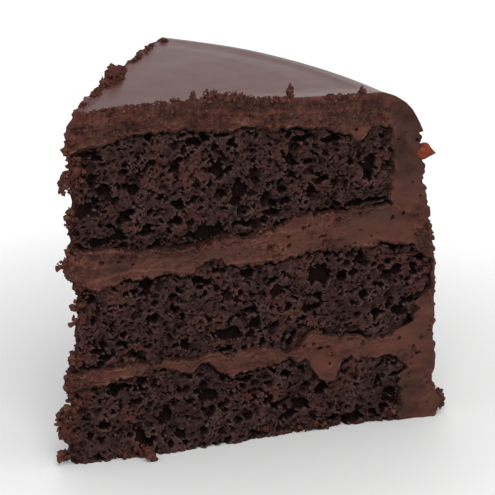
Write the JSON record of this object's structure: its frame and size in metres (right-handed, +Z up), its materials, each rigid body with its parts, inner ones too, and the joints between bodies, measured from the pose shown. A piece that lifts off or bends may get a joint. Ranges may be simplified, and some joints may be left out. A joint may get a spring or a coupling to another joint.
{
  "type": "slice of chocolate cake",
  "caption": "Wedge cut from a round layered chocolate cake, with dark sponge, buttercream between the layers and round the rim, and a smooth dark glaze rolled over the shoulder.",
  "frame": {"origin": "middle of the footprint, on the surface the slice stands on", "axes": "+X along the first cut face from the tip to the rim, -Y out of that cut face, +Z up"},
  "size_m": [0.111, 0.1006, 0.0982],
  "materials": {
    "sponge": "open dry chocolate crumb, matt",
    "buttercream": "soft chocolate buttercream, satin",
    "glaze": "set dark chocolate glaze, satin gloss"
  },
  "bodies": {
    "root": {"sponge_bottom": "sponge", "sponge_middle": "sponge", "sponge_top": "sponge", "filling_lower": "buttercream", "filling_upper": "buttercream", "buttercream_coat": "buttercream", "glaze": "glaze"}
  },
  "joints": []
}
